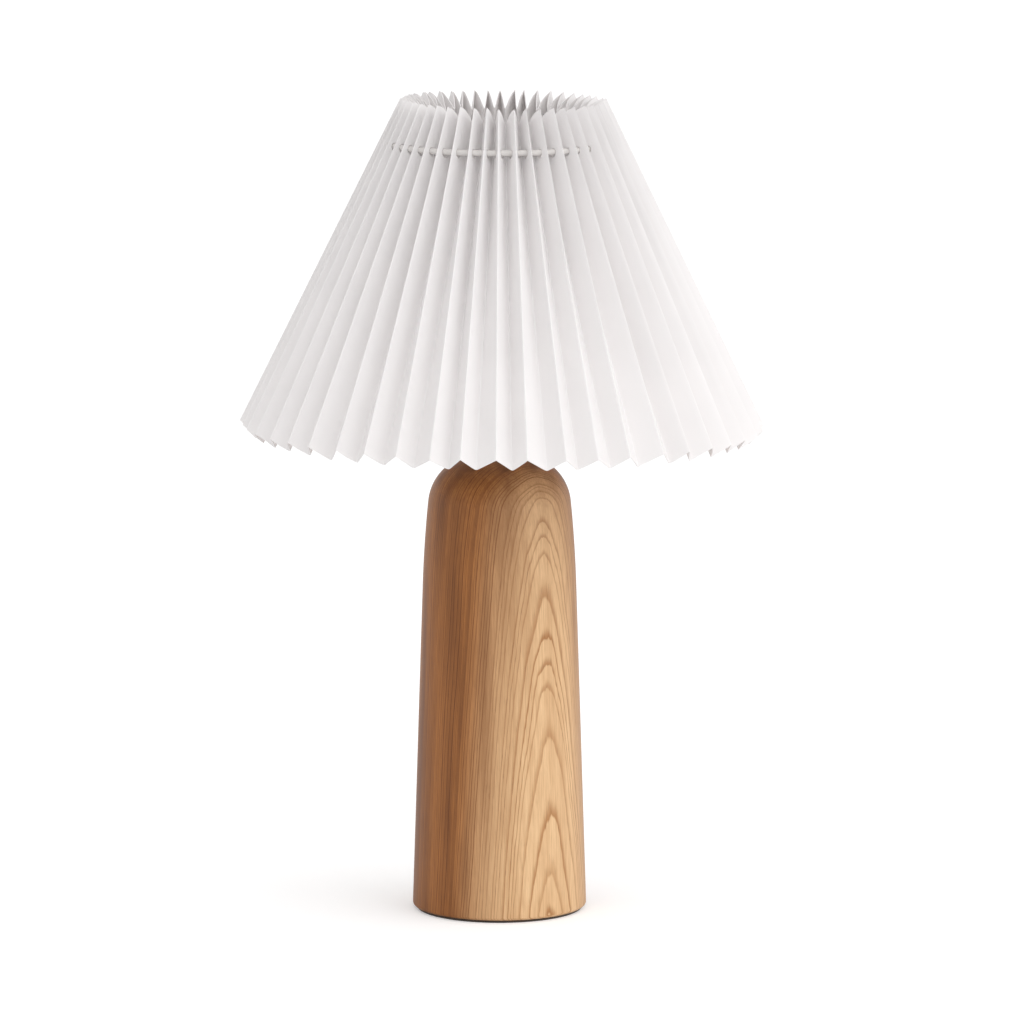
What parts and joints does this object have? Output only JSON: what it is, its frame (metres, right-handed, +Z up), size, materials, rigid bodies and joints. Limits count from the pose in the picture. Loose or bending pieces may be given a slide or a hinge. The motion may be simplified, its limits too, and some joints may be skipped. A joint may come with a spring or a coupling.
{
  "type": "table lamp",
  "caption": "Table lamp with a conical pleated paper shade on a wire ring, lifted off a wire carrier clamped to a screw lampholder, on a turned tapering wooden body.",
  "frame": {"origin": "on the table, under the lamp's axis, at the underside of the felt pad", "axes": "+Z up along the lamp's axis, -Y to the front of the picture's view, +Y to the cable inlet at the rear"},
  "size_m": [0.3, 0.3, 0.468],
  "materials": {
    "paper": "matte",
    "wood": "satin",
    "felt": "matte",
    "white_wire": "satin",
    "steel": "satin",
    "white_plastic": "satin",
    "porcelain": "gloss",
    "brass": "satin",
    "opal_glass": "frosted",
    "clear_glass": "gloss",
    "black_glass": "gloss",
    "phosphor": "matte",
    "cap_metal": "satin"
  },
  "bodies": {
    "base": {"wood_body": "wood", "felt_pad": "felt", "cable_bush": "white_plastic", "threaded_tube": "steel", "recess_washer": "steel", "recess_nut": "steel", "seat_ring": "white_wire", "lock_nut": "steel", "holder_cap": "white_plastic", "grub_screw": "steel", "holder_sleeve": "white_plastic", "holder_core": "porcelain", "screw_shell": "brass", "centre_contact": "brass", "side_contact": "brass", "terminal_blocks": "brass", "terminal_screws": "steel"},
    "carrier": {"carrier_hub": "white_wire", "carrier_arms": "white_wire"},
    "clamp": {"clamp_ring": "white_plastic"},
    "shade": {"paper_shade": "paper", "ring_wire": "white_wire", "ring_ferrule": "steel"},
    "bulb": {"bulb_glass": "opal_glass", "bulb_cap": "cap_metal", "cap_insulator": "black_glass", "cap_contact": "brass", "bulb_stem": "clear_glass", "filaments": "phosphor", "filament_leads": "steel"}
  },
  "joints": [
    {"name": "carrier_turn", "type": "hinge", "parent": "base", "child": "carrier", "pos_m": [0, 0, 0.3018], "axis": [0, 0, 1], "continuous": true},
    {"name": "shade_lift", "type": "slide", "parent": "carrier", "child": "shade", "axis": [0, 0, 1], "range_m": [0, 0.2]},
    {"name": "clamp_turn", "type": "hinge", "parent": "base", "child": "clamp", "pos_m": [0, 0, 0.3061], "axis": [0, 0, 1], "continuous": true},
    {"name": "bulb_out", "type": "slide", "parent": "base", "child": "bulb", "axis": [0, 0, 1], "range_m": [0, 0.18]}
  ]
}
